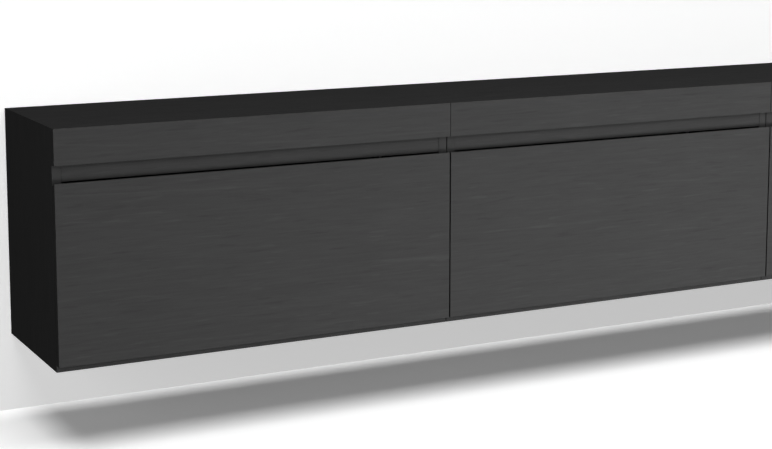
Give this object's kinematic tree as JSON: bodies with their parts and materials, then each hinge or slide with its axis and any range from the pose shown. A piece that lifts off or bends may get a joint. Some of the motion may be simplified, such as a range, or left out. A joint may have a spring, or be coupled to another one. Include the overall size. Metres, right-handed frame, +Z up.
{
  "type": "wall-hung dresser with drawers",
  "caption": "Long wall-hung dresser: carcasses in a row under one top board, each with a fixed apron, a recessed finger groove and a deep full-width drawer below.",
  "frame": {"origin": "midway between the two screw holes of the middle wall rail, on the wall plane", "axes": "+X along the wall, +Y out of the back into the wall, +Z up; the drawers open towards -Y"},
  "size_m": [2.7, 0.365, 0.5],
  "materials": {
    "front_veneer": "matt black-stained oak veneer, grain along the length",
    "carcass_veneer": "matt black-stained oak veneer",
    "interior_board": "matt black-stained board",
    "drawer_board": "matt dark grey veneered plywood",
    "runner_steel": "zinc plated",
    "bracket_steel": "galvanised",
    "fastener_steel": "dark zinc plated",
    "beech_dowel": "bare beech",
    "bumper": "soft matt"
  },
  "bodies": {
    "carcass": {"apron_screws": "fastener_steel", "bay_1_apron": "front_veneer", "bay_1_back": "interior_board", "bay_1_bottom": "carcass_veneer", "bay_1_cabinet_runners": "runner_steel", "bay_1_grip_rail": "carcass_veneer", "bay_1_left_side": "carcass_veneer", "bay_1_right_side": "carcass_veneer", "bay_1_wall_rail": "bracket_steel", "bay_2_apron": "front_veneer", "bay_2_back": "interior_board", "bay_2_bottom": "carcass_veneer", "bay_2_cabinet_runners": "runner_steel", "bay_2_grip_rail": "carcass_veneer", "bay_2_left_side": "carcass_veneer", "bay_2_right_side": "carcass_veneer", "bay_2_wall_rail": "bracket_steel", "bay_3_apron": "front_veneer", "bay_3_back": "interior_board", "bay_3_bottom": "carcass_veneer", "bay_3_cabinet_runners": "runner_steel", "bay_3_grip_rail": "carcass_veneer", "bay_3_left_side": "carcass_veneer", "bay_3_right_side": "carcass_veneer", "bay_3_wall_rail": "bracket_steel", "cabinet_hangers": "bracket_steel", "carcass_dowels": "beech_dowel", "connecting_bolts": "fastener_steel", "drawer_bumpers": "bumper", "hanger_screws": "fastener_steel", "runner_screws": "fastener_steel", "top_panel": "carcass_veneer"},
    "drawer_1": {"drawer_1_bottom": "drawer_board", "drawer_1_drawer_runners": "runner_steel", "drawer_1_front": "front_veneer", "drawer_1_inner_front": "drawer_board", "drawer_1_left_wall": "drawer_board", "drawer_1_rear_wall": "drawer_board", "drawer_1_right_wall": "drawer_board", "drawer_1_screws": "fastener_steel"},
    "runner_slide_1": {"drawer_1_middle_runners": "runner_steel"},
    "drawer_2": {"drawer_2_bottom": "drawer_board", "drawer_2_drawer_runners": "runner_steel", "drawer_2_front": "front_veneer", "drawer_2_inner_front": "drawer_board", "drawer_2_left_wall": "drawer_board", "drawer_2_rear_wall": "drawer_board", "drawer_2_right_wall": "drawer_board", "drawer_2_screws": "fastener_steel"},
    "runner_slide_2": {"drawer_2_middle_runners": "runner_steel"},
    "drawer_3": {"drawer_3_bottom": "drawer_board", "drawer_3_drawer_runners": "runner_steel", "drawer_3_front": "front_veneer", "drawer_3_inner_front": "drawer_board", "drawer_3_left_wall": "drawer_board", "drawer_3_rear_wall": "drawer_board", "drawer_3_right_wall": "drawer_board", "drawer_3_screws": "fastener_steel"},
    "runner_slide_3": {"drawer_3_middle_runners": "runner_steel"}
  },
  "joints": [
    {"name": "drawer_1_slide", "type": "slide", "parent": "carcass", "child": "drawer_1", "axis": [0, -1, 0], "range_m": [0, 0.3]},
    {"name": "runner_1_slide", "type": "slide", "parent": "carcass", "child": "runner_slide_1", "axis": [0, -1, 0], "range_m": [0, 0.15]},
    {"name": "drawer_2_slide", "type": "slide", "parent": "carcass", "child": "drawer_2", "axis": [0, -1, 0], "range_m": [0, 0.3]},
    {"name": "runner_2_slide", "type": "slide", "parent": "carcass", "child": "runner_slide_2", "axis": [0, -1, 0], "range_m": [0, 0.15]},
    {"name": "drawer_3_slide", "type": "slide", "parent": "carcass", "child": "drawer_3", "axis": [0, -1, 0], "range_m": [0, 0.3]},
    {"name": "runner_3_slide", "type": "slide", "parent": "carcass", "child": "runner_slide_3", "axis": [0, -1, 0], "range_m": [0, 0.15]}
  ],
  "couplings": [
    {"joint": "runner_1_slide", "follows": "drawer_1_slide", "ratio": 0.5},
    {"joint": "runner_2_slide", "follows": "drawer_2_slide", "ratio": 0.5},
    {"joint": "runner_3_slide", "follows": "drawer_3_slide", "ratio": 0.5}
  ]
}
